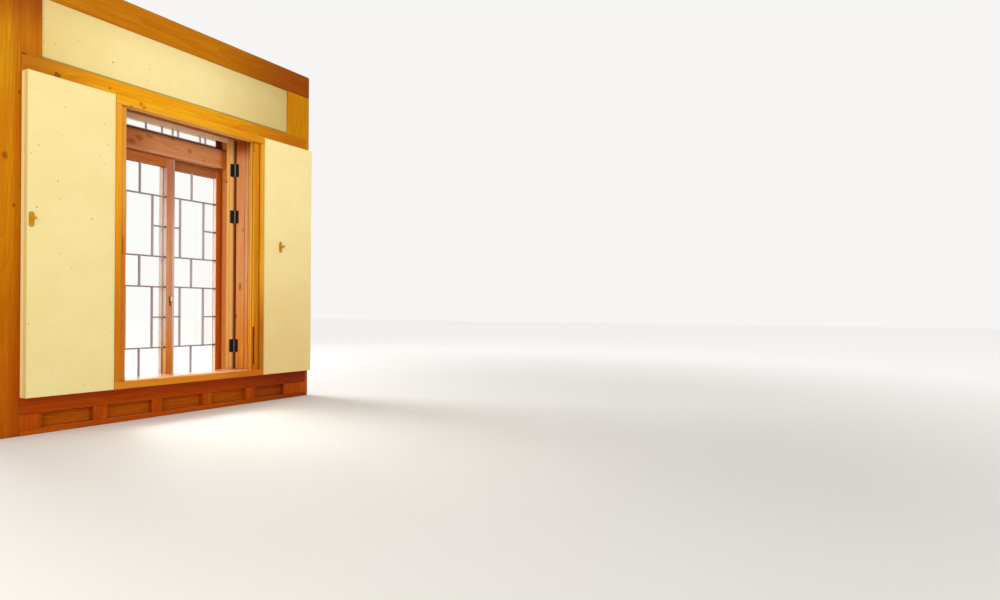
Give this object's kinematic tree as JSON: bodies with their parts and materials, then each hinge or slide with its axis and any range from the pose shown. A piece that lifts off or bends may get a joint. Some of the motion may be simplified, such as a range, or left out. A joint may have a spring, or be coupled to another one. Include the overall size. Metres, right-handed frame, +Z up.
{
  "type": "hanok window wall bay",
  "caption": "Timber-framed window wall bay of a hanok: posts, wall plate, head rail, papered sliding-door pockets, cased lattice window and low panelled dado.",
  "frame": {"origin": "on the floor, midway between the posts, on the wall's centre line", "axes": "+X along the wall to the right as seen from the room, +Y through the wall to the outside, +Z up"},
  "size_m": [2.356, 0.447, 2.706],
  "materials": {
    "post_wood": "oiled pine, orange-brown, with knots",
    "rail_wood": "oiled pine, golden orange, with knots",
    "dado_wood": "stained pine, deep red-brown",
    "hanji_paper": "warm cream mulberry paper with sparse bark flecks",
    "lime_plaster": "off-white lime plaster, matt",
    "casing_wood": "oiled pine, golden orange",
    "lining_wood": "planed pine, pinkish brown",
    "frame_wood": "planed pine, pinkish brown, with knots",
    "sash_wood": "stained pine, red-brown",
    "window_glass": "clear float glass",
    "hinge_black": "black enamelled steel, satin",
    "latch_brass": "aged brass, semi-gloss"
  },
  "bodies": {
    "root": {"post_left": "post_wood", "post_right": "post_wood", "wall_plate": "post_wood", "head_rail": "rail_wood", "leaf_batten_left": "rail_wood", "leaf_batten_right": "rail_wood", "dado_bottom_rail": "dado_wood", "dado_top_rail": "dado_wood", "dado_board_inner": "dado_wood", "dado_board_outer": "dado_wood", "dado_stile_1": "dado_wood", "dado_stile_2": "dado_wood", "dado_stile_3": "dado_wood", "dado_stile_4": "dado_wood", "dado_stile_5": "dado_wood", "dado_stile_6": "dado_wood", "upper_wall": "hanji_paper", "pocket_cover_left": "hanji_paper", "pocket_cover_right": "hanji_paper", "pocket_return_left": "hanji_paper", "pocket_return_right": "hanji_paper", "infill_wall_left": "lime_plaster", "infill_wall_right": "lime_plaster", "casing_head": "casing_wood", "casing_sill": "casing_wood", "casing_left": "casing_wood", "casing_right": "casing_wood", "peg_left": "casing_wood", "peg_right": "casing_wood", "sill_track": "lining_wood", "head_track": "lining_wood", "inner_sill": "lining_wood", "lining_head": "lining_wood", "lining_left": "lining_wood", "lining_right": "lining_wood", "sliding_leaf_left_front": "lining_wood", "sliding_leaf_left_back": "lining_wood", "sliding_leaf_right_front": "lining_wood", "sliding_leaf_right_back": "lining_wood", "frame_jamb_left": "frame_wood", "frame_jamb_right": "frame_wood", "frame_head": "frame_wood", "transom_bar": "frame_wood", "frame_sill": "frame_wood", "meeting_strip": "frame_wood", "sash_left": "sash_wood", "sash_right": "sash_wood", "transom_lattice": "sash_wood", "sash_glass_left": "window_glass", "sash_glass_right": "window_glass", "transom_glass": "window_glass", "hinge_left_top": "hinge_black", "hinge_left_middle": "hinge_black", "hinge_left_bottom": "hinge_black", "hinge_right_top": "hinge_black", "hinge_right_middle": "hinge_black", "hinge_right_bottom": "hinge_black", "window_latch": "latch_brass"}
  },
  "joints": []
}
